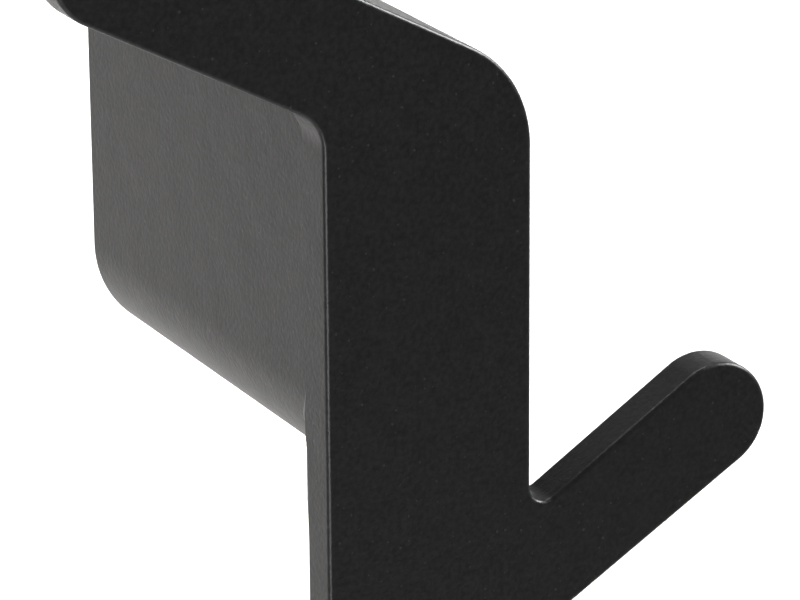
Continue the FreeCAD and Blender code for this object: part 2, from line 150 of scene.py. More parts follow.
# %% Try the arithmetic on two numbers
trial = Graph(bpy.data.node_groups.new("trial", "ShaderNodeTree"))
inverse = 1 - trial.maths("ADD", 0.25, 0.5) * 0.5
last = inverse.socket.node.operation
print("1 - mask * 0.5 took", len(trial.tree.nodes), "nodes and ends in", last)
bpy.data.node_groups.remove(trial.tree)

# %% [markdown]
# ## Finishes and rules
#
# A finish is a material tree, which colours a surface. A rule is a Geometry Nodes tree, which
# shapes a mesh. Both are graphs, so both get their nodes from the class above. A finish looks up
# its noise in the object's own coordinates: every piece here sits unturned at the origin, so the
# grain keeps its size on all of them, runs over every face without a seam, and needs no UV map.
# A rule keeps its sizes as named inputs, and once it has run, its result is stored as a plain
# mesh, because what is handed on to other programs can't hold a live tree.

# %% A finish
class Finish(Graph):
    """A material in the surface's own coordinates."""

    def __init__(self, name):
        self.material = bpy.data.materials.new(name)
        self.material.use_nodes = True
        super().__init__(self.material.node_tree)
        self.shader = self.tree.nodes["Principled BSDF"]
        self.place = self.node("ShaderNodeTexCoord", output="Object")

    def set(self, **inputs):
        """Fill the shader's inputs; an underscore in a name stands for a space."""
        for name, value in inputs.items():
            self.feed(self.shader.inputs[name.replace("_", " ")], value)

    def noise(self, size, detail=2, roughness=0.5):
        """Noise from 0 to 1 whose patches are about this many metres across."""
        return self.node(
            "ShaderNodeTexNoise",
            {"noise_dimensions": "3D"},
            {
                "Vector": self.place,
                "Scale": 1 / size,
                "Detail": detail,
                "Roughness": roughness,
            },
        )

    def mix_colour(self, amount, first, second):
        """From the first colour at 0 to the second at 1."""
        return self.node(
            "ShaderNodeMix", {"data_type": "RGBA"}, {0: amount, 6: first, 7: second}, 2
        )

    def bump(self, height, depth, strength=1, under=None):
        """Turn a height from 0 to 1 into a normal, this many metres deep."""
        inputs = {"Height": height, "Distance": depth, "Strength": strength}
        if under is not None:
            inputs["Normal"] = under
        return self.node("ShaderNodeBump", None, inputs)


# %% A rule for a shape
class Rule(Graph):
    """A Geometry Nodes tree with named sizes, which reshapes a piece's own mesh."""

    def __init__(self, name, sizes):
        super().__init__(bpy.data.node_groups.new(name, "GeometryNodeTree"))
        faces = self.tree.interface
        faces.new_socket("Geometry", in_out="INPUT", socket_type="NodeSocketGeometry")
        faces.new_socket("Geometry", in_out="OUTPUT", socket_type="NodeSocketGeometry")
        self.settings = {}
        for size, value in sizes.items():
            socket = faces.new_socket(
                size, in_out="INPUT", socket_type="NodeSocketFloat"
            )
            self.settings[socket.identifier] = value
        self.entry = self.tree.nodes.new("NodeGroupInput")

    def given(self, name):
        return Wire(self, self.entry.outputs[name])

    def end(self, geometry, material):
        """Close the tree: real geometry that carries its material."""
        real = self.node(
            "GeometryNodeRealizeInstances", None, {"Geometry": geometry}
        )
        painted = self.node(
            "GeometryNodeSetMaterial", None, {"Geometry": real, "Material": material}
        )
        leaving = self.tree.nodes.new("NodeGroupOutput")
        self.feed(leaving.inputs["Geometry"], painted)

    def shape(self, piece):
        """Run the tree on a piece and keep the plain mesh that comes out."""
        modifier = piece.modifiers.new(self.tree.name, "NODES")
        modifier.node_group = self.tree
        for identifier, value in self.settings.items():
            modifier[identifier] = value
        freeze(piece)


def freeze(piece):
    """Replace a piece's mesh with what its modifiers make of it."""
    graph = bpy.context.evaluated_depsgraph_get()
    graph.update()
    baked = bpy.data.meshes.new_from_object(piece.evaluated_get(graph))
    piece.modifiers.clear()
    piece.data = baked


# %% [markdown]
# ## The powder coat
#
# Powder coat is paint that is sprayed as dry dust and melted on. It never lies quite flat: it
# has a soft skin like orange peel, a fine grain on top of that, and here and there a dust nib.
# Black coats also vary a little in depth. The skin could be modelled, but it is a few hundredths
# of a millimetre high, so bump in real millimetres gives the same play of light for nothing.
# Three layers of it are stacked, each under the next, from soft waves to fine grain. The
# variation goes into colour and roughness, and both stay narrow: a coat that is well sprayed
# looks even from a step away.

# %% Powder coat
def make_powder_coat():
    coat = Finish("black_powder_coat")
    peel = coat.noise(0.6 * MM, 1)
    grain = coat.noise(0.25 * MM, 2, 0.6)
    waves = coat.noise(7 * MM, 1)
    cloud = coat.noise(1.8 * MM, 4, 0.65)
    nibs = coat.between(coat.noise(0.5 * MM, 0), 0.76, 0.82)
    fleck = coat.between(peel * 0.75 + cloud * 0.25, 0.30, 0.70)
    tone = coat.mix_colour(fleck, (0.0050, 0.0049, 0.0050, 1), (0.0120, 0.0118, 0.0118, 1))
    tone = coat.mix_colour(nibs * 0.5, tone, (0.05, 0.049, 0.048, 1))
    skin = coat.bump(waves, 0.08 * MM)
    skin = coat.bump(peel, 0.045 * MM, under=skin)
    skin = coat.bump(grain + nibs * 0.7, 0.008 * MM, under=skin)
    coat.set(
        Base_Color=tone,
        Roughness=0.35 + cloud * 0.10 + grain * 0.06,
        Normal=skin,
        IOR=1.5,
        Specular_IOR_Level=0.43,
    )
    return coat.material


powder_coat = make_powder_coat()
print("made", powder_coat.name, "of", len(powder_coat.node_tree.nodes), "nodes")

# %% [markdown]
# ## Zinc and blackened steel
#
# The bracket behind the shell is bought-in sheet, zinc plated: bright, slightly patchy metal
# with fine rolling lines along the strip. The lines are ordinary noise, stretched along the
# strip until each patch is a streak. The grub screw is hardened steel, chemically blackened,
# which leaves a dark oily metal with paler, rubbed spots where a second noise passes a
# threshold. Both are metals, so their colour is what they reflect, and it is mostly roughness
# that tells them apart.

# %% Zinc plate
def make_zinc():
    zinc = Finish("zinc_plated_sheet")
    patches = zinc.noise(3.5 * MM, 3, 0.6)
    clouds = zinc.noise(0.9 * MM, 2)
    stretched = zinc.node(
        "ShaderNodeMapping", None, {"Vector": zinc.place, "Scale": (1, 1, 0.04)}
    )
    rolling = zinc.node(
        "ShaderNodeTexNoise", None,
        {"Vector": stretched, "Scale": 1 / (0.12 * MM), "Detail": 2},
    )
    tone = zinc.mix_colour(patches, (0.30, 0.315, 0.34, 1), (0.52, 0.53, 0.545, 1))
    tone = zinc.mix_colour(clouds * 0.3, tone, (0.50, 0.49, 0.46, 1))
    skin = zinc.bump(rolling, 0.0025 * MM)
    skin = zinc.bump(clouds, 0.006 * MM, under=skin)
    zinc.set(
        Base_Color=tone,
        Metallic=1.0,
        Roughness=0.24 + patches * 0.16 + rolling * 0.06,
        Normal=skin,
    )
    return zinc.material


zinc_plate = make_zinc()
print("made", zinc_plate.name, "of", len(zinc_plate.node_tree.nodes), "nodes")


# %% Blackened steel
def make_black_steel():
    steel = Finish("blackened_screw_steel")
    wear = steel.between(steel.noise(0.6 * MM, 4, 0.65), 0.56, 0.72)
    oil = steel.noise(1.6 * MM, 2)
    tone = steel.mix_colour(oil, (0.028, 0.027, 0.027, 1), (0.055, 0.053, 0.052, 1))
    tone = steel.mix_colour(wear * 0.6, tone, (0.22, 0.215, 0.21, 1))
    steel.set(
        Base_Color=tone,
        Metallic=0.9,
        Roughness=0.30 + oil * 0.14,
        Normal=steel.bump(wear, 0.004 * MM),
    )
    return steel.material


black_steel = make_black_steel()
print("made", black_steel.name, "of", len(black_steel.node_tree.nodes), "nodes")

# %% [markdown]
# ## Outlines made of sides and rounded corners
#
# A cut plate and a bent strip are both drawn the same way: straight sides, each with a place and
# a heading, and a radius where two sides meet. Working the arcs out from the sides keeps every
# corner truly tangent, and each point remembers which way is outward, which the edges need next.
# Curve objects with handles could draw this too, but their arcs are only near to round, and an
# inset of them doesn't keep its distance.

# %% Draw an outline
ARC_STEP = math.radians(3)
SIDE_STEPS = 24
UP = 90
DOWN = 270


def heading(degrees):
    return Vector((math.cos(math.radians(degrees)), math.sin(math.radians(degrees))))


def crossing(point, direction, other_point, other_direction):
    """Where two lines cross."""
    gap = other_point - point
    turn = direction.x * other_direction.y - direction.y * other_direction.x
    steps = (gap.x * other_direction.y - gap.y * other_direction.x) / turn
    return point + direction * steps


def corner_points(side, following, radius):
    """(point, outward) pairs round the corner of two (point, heading) sides.

    A sharp corner is one point, whose outward vector reaches as far as a mitre does.
    """
    turn = (following[1] - side[1] + 180) % 360 - 180
    sign = 1 if turn > 0 else -1
    if radius == 0:
        corner = crossing(side[0], heading(side[1]), following[0], heading(following[1]))
        half = turn / 2
        return [(corner, heading(side[1] + half - 90) / math.cos(math.radians(half)))]
    inward = heading(side[1] + 90 * sign)
    next_inward = heading(following[1] + 90 * sign)
    centre = crossing(
        side[0] + inward * radius, heading(side[1]),
        following[0] + next_inward * radius, heading(following[1]),
    )
    steps = max(2, round(math.radians(abs(turn)) / ARC_STEP))
    points = []
    for i in range(steps + 1):
        out = heading(side[1] - 90 * sign + turn * i / steps)
        points.append((centre + out * radius, out * sign))
    return points


def rounded_outline(sides, radii):
    """(point, outward) pairs round a closed outline; radii[i] ends sides[i]."""
    corners = []
    for i, side in enumerate(sides):
        corners.append(corner_points(side, sides[(i + 1) % len(sides)], radii[i]))
    outline = []
    for i, corner in enumerate(corners):
        start = corners[i - 1][-1][0]
        run = corner[0][0] - start
        out = heading(sides[i][1] - 90)
        outline += [(start + run * k / SIDE_STEPS, out) for k in range(1, SIDE_STEPS)]
        outline += corner
    return outline


print("corner arcs in steps of", round(math.degrees(ARC_STEP)), "degrees")

# %% [markdown]
# ## Edges that catch the light
#
# Laser-cut steel is tumbled before it is coated, so its edges are small quarter rounds. On a
# black plate that thin round is the brightest thing there is. The plate is made as rings that
# follow its outline: each ring has an inset and a depth, and the rings walk from the front face
# over the round, down the edge and over the back round. The flat faces are single polygons. A
# Bevel modifier would be quicker, but it can't make a round that grows along an edge, as the
# back of this plate needs.
#
# Smooth shading averages the normals at a point, which would tint a flat face near its edge. So
# true corners are marked sharp, each round has a narrow support ring on either side, and the
# Weighted Normal modifier lets the large faces win.

# %% Rings over an edge
ROUND_STEPS = 6
TRUE_CORNER = math.radians(50)
SUPPORT = 0.15 * MM


def ring_mesh(name, rings, caps=True):
    """Join rings of points, each to the next, and close the ends."""
    mesh = bmesh.new()
    loops = [[mesh.verts.new(point) for point in ring] for ring in rings]
    count = len(loops[0])
    for first, second in zip(loops, loops[1:]):
        for i in range(count):
            k = (i + 1) % count
            mesh.faces.new((first[i], first[k], second[k], second[i]))
    if caps:
        mesh.faces.new(loops[0])
        mesh.faces.new(loops[-1])
    bmesh.ops.remove_doubles(mesh, verts=mesh.verts, dist=SAME_PLACE)
    bmesh.ops.recalc_face_normals(mesh, faces=mesh.faces)
    return finish_mesh(name, mesh)


# %% Smooth faces, sharp corners
def finish_mesh(name, mesh):
    """Turn a bmesh into an object that is smooth except along its true corners."""
    for face in mesh.faces:
        face.smooth = True
    for edge in mesh.edges:
        edge.smooth = edge.calc_face_angle(0) < TRUE_CORNER
    data = bpy.data.meshes.new(name)
    mesh.to_mesh(data)
    mesh.free()
    piece = bpy.data.objects.new(name, data)
    bpy.context.scene.collection.objects.link(piece)
    return piece


def weigh_normals(piece):
    """Let the large flat faces decide the shading where they meet small rounds."""
    modifier = piece.modifiers.new("weigh", "WEIGHTED_NORMAL")
    modifier.weight = 100
    modifier.keep_sharp = True
    freeze(piece)


def report(piece):
    """Print a piece's name, its faces and the box that it fills."""
    corners = [Vector(corner) / MM for corner in piece.bound_box]
    low = [round(min(c[k] for c in corners), 2) for k in range(3)]
    high = [round(max(c[k] for c in corners), 2) for k in range(3)]
    print(piece.name, len(piece.data.polygons), "faces, from", low, "to", high, "mm")


print("each round has", ROUND_STEPS, "steps")

# %% [markdown]
# ## The hook plate
#
# Eight straight sides describe the whole plate. The arm's end and the hook's tip are full
# rounds, drawn as two quarter turns against a short end side. The back edge stays sharp where
# the shell is welded flush behind it, because there the joint is ground smooth, and grows into
# a round over a few millimetres where the plate stands free. Sides are given as a place and a
# heading in degrees, and the ones that belong to a round end are found as lines that touch the
# end's circle, so a change of slope or radius moves everything that hangs on it.

# %% Sizes of the plate
# Slopes are in degrees.
ARM_SLOPE = 28.5
ARM_RADIUS = 6.85 * MM
ARMPIT_RADIUS = 5 * MM
SHOULDER_RADIUS = 13.5 * MM
HOOK_SLOPE = 32
HOOK_UNDER_SLOPE = 30.5
TIP_RADIUS = 6.5 * MM
HOOK_DROP = 27.2 * MM
NOTCH_RADIUS = 2 * MM
HEEL_RADIUS = 10 * MM
FRONT_ROUND = 0.5 * MM
BACK_ROUND = 0.35 * MM
FADE_LENGTH = 4 * MM
FILLET_LEG = 2.6 * MM

arm_end = Vector((plate_low.x + ARM_RADIUS, plate_high.z - ARM_RADIUS))
tip = Vector((plate_high.x - TIP_RADIUS, -HOOK_DROP))
underside_level = shell_low.z + half_stem


def beside(centre, radius, degrees):
    """The side that runs along a heading and touches a circle, with the circle on its left."""
    return centre + heading(degrees - 90) * radius, degrees


left_side = (Vector((-half_stem, 0)), DOWN)
right_side = (Vector((half_stem, 0)), UP)
roof_side = beside(arm_end, ARM_RADIUS, 180 - ARM_SLOPE)
tip_heading = (HOOK_SLOPE + HOOK_UNDER_SLOPE) / 2 + 90
plate_outline = rounded_outline(
    [
        left_side,
        beside(tip, TIP_RADIUS, HOOK_UNDER_SLOPE),
        beside(tip, TIP_RADIUS, tip_heading),
        beside(tip, TIP_RADIUS, 180 + HOOK_SLOPE),
        right_side,
        roof_side,
        beside(arm_end, ARM_RADIUS, 270 - ARM_SLOPE),
        beside(arm_end, ARM_RADIUS, 360 - ARM_SLOPE),
    ],
    [
        HEEL_RADIUS, TIP_RADIUS, TIP_RADIUS, NOTCH_RADIUS,
        SHOULDER_RADIUS, ARM_RADIUS, ARM_RADIUS, ARMPIT_RADIUS,
    ],
)
print("plate outline points", len(plate_outline))


# %% Where the back edge is round
def flush_with_shell(point, out):
    """True where the plate's edge lies in a face of the shell behind it."""
    if point.x < -half_stem - ARMPIT_RADIUS:
        return False
    on_upright = abs(abs(point.x) - half_stem) < 0.001 * MM and abs(out.x) > 0.99
    if on_upright:
        return point.y > shell_low.z - FILLET_LEG
    return point.y > underside_level


def back_rounds(outline):
    """The back round at each point, fading out towards the shell."""
    flush = [point for point, out in outline if flush_with_shell(point, out)]
    rounds = []
    for point, out in outline:
        gap = min((point - other).length for other in flush)
        part = min(1, gap / FADE_LENGTH)
        rounds.append(BACK_ROUND * part * part * (3 - 2 * part))
    return rounds


free_points = sum(amount > 0 for amount in back_rounds(plate_outline))
print("points with a rounded back edge", free_points)


# %% Make the plate
def quarter(radius, rising):
    """(inset, depth) pairs round a quarter turn, from a face to the edge or back."""
    steps = []
    for i in range(ROUND_STEPS + 1):
        angle = math.pi / 2 * i / ROUND_STEPS
        inset = radius * (1 - math.sin(angle))
        depth = radius * (1 - math.cos(angle))
        steps.append((inset, depth))
    return steps if rising else steps[::-1]


def make_plate():
    """Walk rings over the edge: out of the front face, along the side, into the back."""
    rounds = back_rounds(plate_outline)
    rings = []

    def add_ring(insets, depths):
        ring = []
        for (point, out), inset, depth in zip(plate_outline, insets, depths):
            at = point - out * inset
            ring.append(Vector((at.x, depth, at.y)))
        rings.append(ring)

    count = len(plate_outline)
    add_ring([FRONT_ROUND + SUPPORT] * count, [front] * count)
    for inset, depth in quarter(FRONT_ROUND, rising=True):
        add_ring([inset] * count, [front + depth] * count)
    add_ring([0] * count, [front + FRONT_ROUND + SUPPORT] * count)
    add_ring([0] * count, [plate_back - BACK_ROUND - SUPPORT] * count)
    for step in range(ROUND_STEPS + 1):
        pairs = [quarter(r, rising=False)[step] for r in rounds]
        add_ring([p[0] for p in pairs], [plate_back - p[1] for p in pairs])
    add_ring([r + SUPPORT for r in rounds], [plate_back] * count)
    return ring_mesh("hook_plate_coated", rings)


hook_plate = make_plate()
weigh_normals(hook_plate)
report(hook_plate)

# %% [markdown]
# ## The stand-off shell
#
# The shell is one strip, bent to a long round underside and a rounded shoulder, with a roof that
# carries on the line of the arm. Its inner face is the same outline drawn one wall further in.
# A bent sheet with a Solidify modifier would come close, but its inner radius at the shoulder
# would be less even, and its rim would be square. Only the rim at the wall is free, so only that
# rim is rounded. At the upper left the strip's two ends meet, and a bevel there takes the weld.

# %% Make the shell
WALL = 3 * MM
RIM_ROUND = 0.4 * MM
SEAM_LEG = 2.2 * MM


def strip_outline(inset):
    """The section of the strip, drawn this far inside its outer face."""
    shift = half_stem - inset
    roof_point = roof_side[0] - heading(roof_side[1] - 90) * inset
    corner = crossing(
        Vector((-shift, 0)), heading(UP), roof_point, heading(roof_side[1])
    )
    bevel_heading = (roof_side[1] + DOWN) / 2
    leg = SEAM_LEG if inset == 0 else 0
    base = Vector((0, underside_level))
    sides = [
        (Vector((-shift, 0)), DOWN),
        (base + Vector((0, -shift)), 0),
        (Vector((shift, 0)), UP),
        (roof_point, roof_side[1]),
        (corner + heading(DOWN) * leg, bevel_heading),
    ]
    return rounded_outline(sides, [shift, shift, SHOULDER_RADIUS - inset, 0, 0])


def make_shell():
    """Walk rings along the outside, over the rim at the wall and back along the inside."""
    outer = strip_outline(0)
    inner = strip_outline(WALL)
    print("strip outline points", len(outer), len(inner))
    rings = []

    def add_ring(outline, inset, depth):
        rings.append([
            Vector((point.x - out.x * inset, depth, point.y - out.y * inset))
            for point, out in outline
        ])

    back = shell_high.y
    add_ring(outer, 0, plate_back)
    add_ring(outer, 0, back - RIM_ROUND - SUPPORT)
    for inset, depth in quarter(RIM_ROUND, rising=False):
        add_ring(outer, inset, back - depth)
    for inset, depth in quarter(RIM_ROUND, rising=True):
        add_ring(inner, -inset, back - depth)
    add_ring(inner, 0, back - RIM_ROUND - SUPPORT)
    add_ring(inner, 0, plate_back)
    rings.append(rings[0])
    return ring_mesh("standoff_shell_coated", rings, caps=False)


standoff_shell = make_shell()
weigh_normals(standoff_shell)
report(standoff_shell)

# %% [markdown]
# ## Two welds
#
# A weld is metal laid along a path, so the tree does the same: the piece's own mesh holds only
# the section of the bead, and the tree carries it along the path. Under the shell it is a hollow
# fillet in the corner against the plate, which dies away where the plate's edge comes close. The
# seam on the top corner of the strip was dressed, so it is a flatter bead. Welding adds metal
# in steps, and the coating leaves only a faint swell of them, which is noise on the bead's size.
# A curve with a bevel object could carry a section too. The tree is used because it also fades
# the bead at its ends, presses it flush with the plate's edges and closes it in one go.

# %% Sections of the beads
EMBED = 0.1 * MM
SEAM_ROOT = 1.5 * MM
SWELL = 0.05
SWELL_SIZE = 1.3 * MM
FILLET_STEPS = 12
FADE_START = math.radians(64)
FADE_END = math.radians(90)


def section_piece(name, points):
    """A closed line that holds a bead's section, as (x, y) pairs."""
    data = bpy.data.meshes.new(name)
    count = len(points)
    edges = [(i, (i + 1) % count) for i in range(count)]
    data.from_pydata([(x, y, 0) for x, y in points], edges, [])
    piece = bpy.data.objects.new(name, data)
    bpy.context.scene.collection.objects.link(piece)
    return piece


def fillet_section():
    """The corner itself, then a hollow quarter turn from one leg to the other."""
    points = [(-EMBED, -EMBED)]
    for i in range(FILLET_STEPS + 1):
        angle = math.pi / 2 * i / FILLET_STEPS
        points.append((
            FILLET_LEG * (1 - math.sin(angle)),
            FILLET_LEG * (1 - math.cos(angle)),
        ))
    return points


def seam_section():
    """A dressed bead over a bevelled corner, seen from a root inside the wall.

    Lengths are in mm here, and each point says how far it stands proud of the wall, or of the
    roof, which falls away at the arm's slope.
    """
    points = [(0, 0), (-SEAM_ROOT, 0.5 * MM)]
    for rise, proud in ((0.9, 0.06), (1.6, -0.05)):
        points.append((-SEAM_ROOT - proud * MM, -rise * MM))
    for across, proud in ((-1.15, -0.03), (-0.7, 0.07), (0.1, 0.05), (0.9, -0.02)):
        fall = (across * MM + SEAM_ROOT) * math.tan(math.radians(ARM_SLOPE))
        points.append((across * MM, fall - SEAM_LEG - proud * MM))
    return points


print("section points", len(fillet_section()), "and", len(seam_section()))


# %% Trim to the plate's width
def trimmed(rule, geometry):
    """Press whatever stands past the plate's two edges back to them."""
    inside = rule.node("GeometryNodeInputPosition")
    for operation, limit in (
        ("MINIMUM", (half_stem, 1, 1)),
        ("MAXIMUM", (-half_stem, -1, -1)),
    ):
        inside = rule.node(
            "ShaderNodeVectorMath", {"operation": operation}, {0: inside, 1: limit}
        )
    return rule.node(
        "GeometryNodeSetPosition", None, {"Geometry": geometry, "Position": inside}
    )


# %% A rule that carries a section along a path
def bead_rule(name, sizes, draw_path, size_along, turn_upright):
    """Draw the path, put the section on it at each point's size, and close the ends.

    Where the size comes down to nothing, the ring there is merged to a single point.
    """
    rule = Rule(name, sizes)
    path = rule.node(
        "GeometryNodeSetCurveNormal", {"mode": "Z_UP"}, {"Curve": draw_path(rule)}
    )
    noise = rule.node(
        "ShaderNodeTexNoise", {"noise_dimensions": "3D"},
        {"Scale": 1 / SWELL_SIZE, "Detail": 1},
    )
    swell = 1 - rule.given("Swell") * noise
    section = rule.node(
        "GeometryNodeMeshToCurve", None, {"Mesh": rule.given("Geometry")}
    )
    bead = rule.node(
        "GeometryNodeCurveToMesh", None,
        {
            "Curve": path,
            "Profile Curve": section,
            "Scale": size_along(rule) * swell,
            "Fill Caps": True,
        },
    )
    if turn_upright:
        bead = rule.node(
            "GeometryNodeTransform", None,
            {
                "Geometry": bead,
                "Rotation": (math.radians(90), 0, 0),
                "Translation": (0, plate_back, underside_level),
            },
        )
        bead = trimmed(rule, bead)
    bead = rule.node(
        "GeometryNodeMergeByDistance", None,
        {"Geometry": bead, "Distance": 10 * SAME_PLACE},
    )
    bead = rule.node("GeometryNodeSetShadeSmooth", None, {"Geometry": bead})
    rule.end(bead, powder_coat)
    return rule


# %% The fillet round the underside
BEAD_STEPS = 96


def underside_path(rule):
    """The half round of the underside, lying flat until it is turned upright."""
    sweep = rule.given("Half sweep")
    return rule.node(
        "GeometryNodeCurveArc", {"mode": "RADIUS"},
        {
            "Resolution": BEAD_STEPS,
            "Radius": rule.given("Underside radius"),
            "Start Angle": math.radians(DOWN) - sweep,
            "Sweep Angle": 2 * sweep,
        },
    )


def fade_at_ends(rule):
    """Full size round the underside, shrinking away where it meets the upright walls."""
    along = rule.node("GeometryNodeSplineParameter", output=0)
    turn = rule.maths("ABSOLUTE", along - 0.5) * 2 * rule.given("Half sweep")
    return 1 - rule.between(turn, FADE_START, FADE_END)


fillet_rule = bead_rule(
    "fillet_bead",
    {
        "Underside radius": half_stem,
        "Half sweep": FADE_END,
        "Swell": SWELL,
    },
    underside_path, fade_at_ends, turn_upright=True,
)
front_weld = section_piece("front_weld_bead", fillet_section())
fillet_rule.shape(front_weld)
report(front_weld)


# %% The seam along the strip's top corner
SEAM_STEPS = 90


def seam_path(rule):
    """A straight line from the plate to just short of the rim at the wall."""
    line = rule.node(
        "GeometryNodeCurvePrimitiveLine", None,
        {
            "Start": (seam_root.x, plate_back, seam_root.y),
            "End": (seam_root.x, shell_high.y - RIM_ROUND, seam_root.y),
        },
    )
    return rule.node(
        "GeometryNodeResampleCurve", None, {"Curve": line, "Count": SEAM_STEPS}
    )


def even(rule):
    """The same size all along."""
    return rule.given("Fullness")


seam_root = Vector((-half_stem + SEAM_ROOT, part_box("seam_weld")[0].z))
seam_rule = bead_rule(
    "seam_bead", {"Fullness": 1, "Swell": SWELL}, seam_path, even, turn_upright=False
)
seam_weld = section_piece("seam_weld_bead", seam_section())
seam_rule.shape(seam_weld)
report(seam_weld)

# %% [markdown]
# ## The grub screw
#
# A grub screw is a threaded pin with a hex socket in one end and a chamfer at the other. The pin
# is turned here from a list of rings, and the socket is a ring whose radius follows a hexagon.
# A thread repeats along a helix, so a tree cuts it: each point of the shank is pulled in by how
# far round and how far along it lies. A Screw modifier could wind a thread as well, but it
# leaves loose ends that then have to be joined to the chamfer and the point. Pulling the points
# of a closed pin keeps it closed.

# %% Turn the pin
PITCH = 0.8 * MM
THREAD_DEPTH = 0.36 * MM
ROUND_POINTS = 72
RINGS_PER_PITCH = 10
CHAMFER = 0.7 * MM
SOCKET_HALF = 1.25 * MM
SOCKET_DEPTH = 3 * MM
screw_low, screw_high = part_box("grub_screw")
screw_axis = (screw_low + screw_high) / 2
screw_radius = (screw_high.x - screw_low.x) / 2


def hexagon(angle):
    """Distance from the centre to a unit hexagon's side, at an angle."""
    part = angle % math.radians(60) - math.radians(30)
    return 1 / math.cos(part)


def pin_rings():
    """(radius, height above the low end, is it the socket) from socket to point."""
    length = screw_high.z - screw_low.z
    rings = [
        (0.05 * MM, SOCKET_DEPTH + 0.5 * MM, False),
        (0.7 * MM, SOCKET_DEPTH + 0.15 * MM, False),
        (SOCKET_HALF, SOCKET_DEPTH, True),
        (SOCKET_HALF, 0.2 * MM, True),
        (SOCKET_HALF * 1.04, 0.06 * MM, True),
        (SOCKET_HALF * 1.22, 0, False),
        (screw_radius - CHAMFER, 0, False),
    ]
    shank = round((length - 2 * CHAMFER) / PITCH * RINGS_PER_PITCH)
    for i in range(shank + 1):
        height = CHAMFER + (length - 2 * CHAMFER) * i / shank
        rings.append((screw_radius, height, False))
    rings.append((screw_radius - CHAMFER, length, False))
    rings.append((0.4 * MM, length - 0.15 * MM, False))
    return rings


def turn_pin():
    """A closed pin, socket down, with a smooth shank that is ready for its thread."""
    rings = []
    for radius, height, hexed in pin_rings():
        ring = []
        for i in range(ROUND_POINTS):
            angle = 2 * math.pi * i / ROUND_POINTS
            reach = radius * (hexagon(angle) if hexed else 1)
            ring.append(Vector((
                screw_axis.x + reach * math.cos(angle),
                screw_axis.y + reach * math.sin(angle),
                screw_low.z + height,
            )))
        rings.append(ring)
    return ring_mesh("grub_screw_threaded", rings)


grub_screw = turn_pin()
print("pin of", round(2 * screw_radius / MM, 1), "mm turned, no thread yet")


# %% Cut the thread with a tree
def thread_rule():
    """Pull each point of the shank towards the axis, by its place along the helix."""
    rule = Rule("thread", {"Pitch": PITCH, "Depth": THREAD_DEPTH, "Radius": screw_radius})
    axis = (screw_axis.x, screw_axis.y, 0)
    place = rule.node("GeometryNodeInputPosition")
    arm = rule.node(
        "ShaderNodeVectorMath", {"operation": "SUBTRACT"}, {0: place, 1: axis}
    )
    parts = rule.tree.nodes.new("ShaderNodeSeparateXYZ")
    rule.feed(parts.inputs[0], arm)
    x, y, z = (Wire(rule, output) for output in parts.outputs)
    turn = rule.maths("ARCTAN2", y, x) / (2 * math.pi)
    phase = rule.maths("FRACT", (z - screw_low.z) / rule.given("Pitch") - turn)
    groove = rule.maths("ABSOLUTE", phase - 0.5) * 2
    reach = rule.maths("SQRT", x * x + y * y)
    on_shank = rule.maths("GREATER_THAN", reach, rule.given("Radius") - 0.01 * MM)
    pull = groove * rule.given("Depth") * on_shank / reach
    shift = rule.node(
        "ShaderNodeCombineXYZ", None, {0: x * pull * -1, 1: y * pull * -1, 2: 0.0}
    )
    cut = rule.node(
        "GeometryNodeSetPosition", None,
        {"Geometry": rule.given("Geometry"), "Offset": shift},
    )
    rule.end(cut, black_steel)
    return rule


thread_rule().shape(grub_screw)
report(grub_screw)

# %% [markdown]
# ## Bracket and boss
#
# The sheet bracket and the threaded boss are simple enough that the measured model has their
# shape. What it lacks is the small break on every edge, which punching and tumbling leave. The
# measured mesh is loose triangles, so a copy of it is merged first, its flat faces are made
# whole again, and a bevel runs along every edge that is sharper than a bend's facets. Modelling
# them anew would only repeat what is already there.

# %% Break the edges of a measured piece
BEND_FACET = math.radians(32)


def edge_broken(node, name, width):
    """A merged copy of a measured node whose sharp edges are rounded this wide."""
    mesh = bmesh.new()
    mesh.from_mesh(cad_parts[node].data)
    bmesh.ops.remove_doubles(mesh, verts=mesh.verts, dist=0.002 * MM)
    bmesh.ops.dissolve_limit(
        mesh, angle_limit=math.radians(0.5), verts=mesh.verts, edges=mesh.edges
    )
    piece = finish_mesh(name, mesh)
    piece.data.materials.clear()
    modifier = piece.modifiers.new("break", "BEVEL")
    modifier.limit_method = "ANGLE"
    modifier.angle_limit = BEND_FACET
    modifier.width = width
    modifier.segments = 3
    weigh_normals(piece)
    report(piece)
    return piece


wall_bracket = edge_broken("wall_bracket", "wall_bracket_sheet", 0.2 * MM)
threaded_boss = edge_broken("threaded_boss", "threaded_boss_coated", 0.25 * MM)

# %% [markdown]
# ## One body for all pieces
#
# Nothing on this hook moves, so every piece rides on the one body. Each piece says which measured
# piece it stands for, which is then hidden, and which finish it takes. One list holds all of it.

DECLARED = [
    (hook_plate, "hook_plate", "black_powder_coat", powder_coat),
    (standoff_shell, "standoff_shell", "black_powder_coat", powder_coat),
    (seam_weld, "seam_weld", "black_powder_coat", powder_coat),
    (front_weld, "front_weld", "black_powder_coat", powder_coat),
    (threaded_boss, "threaded_boss", "black_powder_coat", powder_coat),
    (wall_bracket, "wall_bracket", "zinc_plated_sheet", zinc_plate),
    (grub_screw, "grub_screw", "blackened_screw_steel", black_steel),
]

for piece, node, slot_name, material in DECLARED:
    piece.data.materials.clear()
    piece.data.materials.append(material)
    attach(piece, "root")
    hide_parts(node)
print("declared", len(DECLARED), "pieces")

